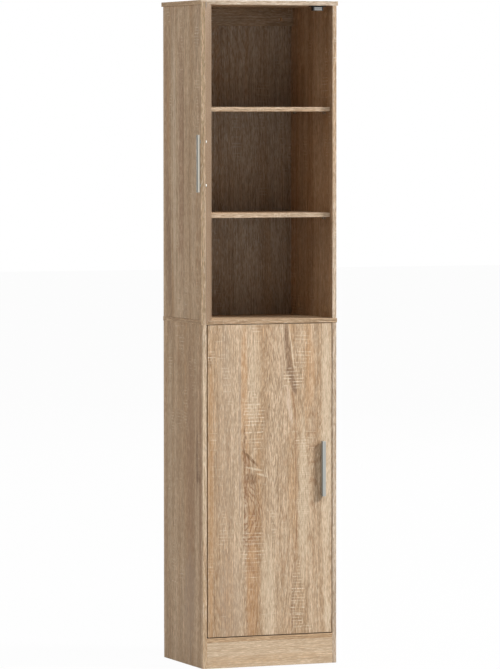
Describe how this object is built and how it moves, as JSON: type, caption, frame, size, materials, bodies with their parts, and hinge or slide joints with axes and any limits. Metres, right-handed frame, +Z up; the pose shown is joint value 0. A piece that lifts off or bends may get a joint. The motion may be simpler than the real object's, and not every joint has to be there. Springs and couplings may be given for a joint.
{
  "type": "tall bathroom cabinet",
  "caption": "Tall narrow board cabinet on a plinth: an upper and a lower carcass with shelves, inset side-hung doors on pin pivots, bar handles, magnetic catches and wall fixing holes.",
  "frame": {"origin": "on the floor, at the middle of the plinth board's underside, midway between the side panels", "axes": "+Z up, +X to the right seen from the front, +Y from the front to the rear"},
  "size_m": [0.5269, 0.6201, 1.8],
  "materials": {
    "oak_board": "matt printed melamine, light saw-marked oak",
    "back_board": "printed hardboard, matt",
    "handle_metal": "satin nickel",
    "plated_steel": "bright zinc plate",
    "zinc_alloy": "die-cast zinc, plain",
    "black_plastic": "black, matt",
    "clear_plastic": "natural nylon",
    "bush_plastic": "brown acetal",
    "cap_plastic": "oak-coloured cover caps",
    "beech": "plain fluted dowel",
    "magnet_ferrite": "grey ferrite, ground faces"
  },
  "bodies": {
    "carcass": {"top_panel": "oak_board", "mid_panel": "oak_board", "bottom_panel": "oak_board", "plinth_board": "oak_board", "lower_side_left": "oak_board", "lower_side_right": "oak_board", "upper_side_left": "oak_board", "upper_side_right": "oak_board", "back_rail": "oak_board", "back_panel_upper": "back_board", "back_panel_lower": "back_board", "upper_shelf_1": "oak_board", "upper_shelf_2": "oak_board", "lower_shelf_1": "oak_board", "lower_shelf_2": "oak_board", "shelf_pins_upper": "clear_plastic", "shelf_pins_lower": "clear_plastic", "cam_locks": "zinc_alloy", "cam_bolts": "plated_steel", "double_cam_bolts": "plated_steel", "cam_caps": "cap_plastic", "dowels": "beech", "long_dowels": "beech", "back_nails": "plated_steel", "pivot_bushes": "bush_plastic", "upper_catch_body": "black_plastic", "upper_catch_magnet": "magnet_ferrite", "upper_catch_poles": "plated_steel", "lower_catch_body": "black_plastic", "lower_catch_magnet": "magnet_ferrite", "lower_catch_poles": "plated_steel", "catch_screws": "plated_steel"},
    "upper_door_leaf": {"upper_door": "oak_board", "upper_pivot_plates": "plated_steel", "upper_pivot_screws": "plated_steel", "upper_handle": "handle_metal", "upper_handle_screws": "plated_steel", "upper_strike_plate": "plated_steel", "upper_strike_screws": "plated_steel"},
    "lower_door_leaf": {"lower_door": "oak_board", "lower_pivot_plates": "plated_steel", "lower_pivot_screws": "plated_steel", "lower_handle": "handle_metal", "lower_handle_screws": "plated_steel", "lower_strike_plate": "plated_steel", "lower_strike_screws": "plated_steel"}
  },
  "joints": [
    {"name": "upper_door_hinge", "type": "hinge", "parent": "carcass", "child": "upper_door_leaf", "pos_m": [-0.175, -0.001, 1.365], "axis": [0, 0, 1], "range_deg": [-3, 114]},
    {"name": "lower_door_hinge", "type": "hinge", "parent": "carcass", "child": "lower_door_leaf", "pos_m": [-0.175, -0.001, 0.506], "axis": [0, 0, -1], "range_deg": [0, 117]}
  ]
}
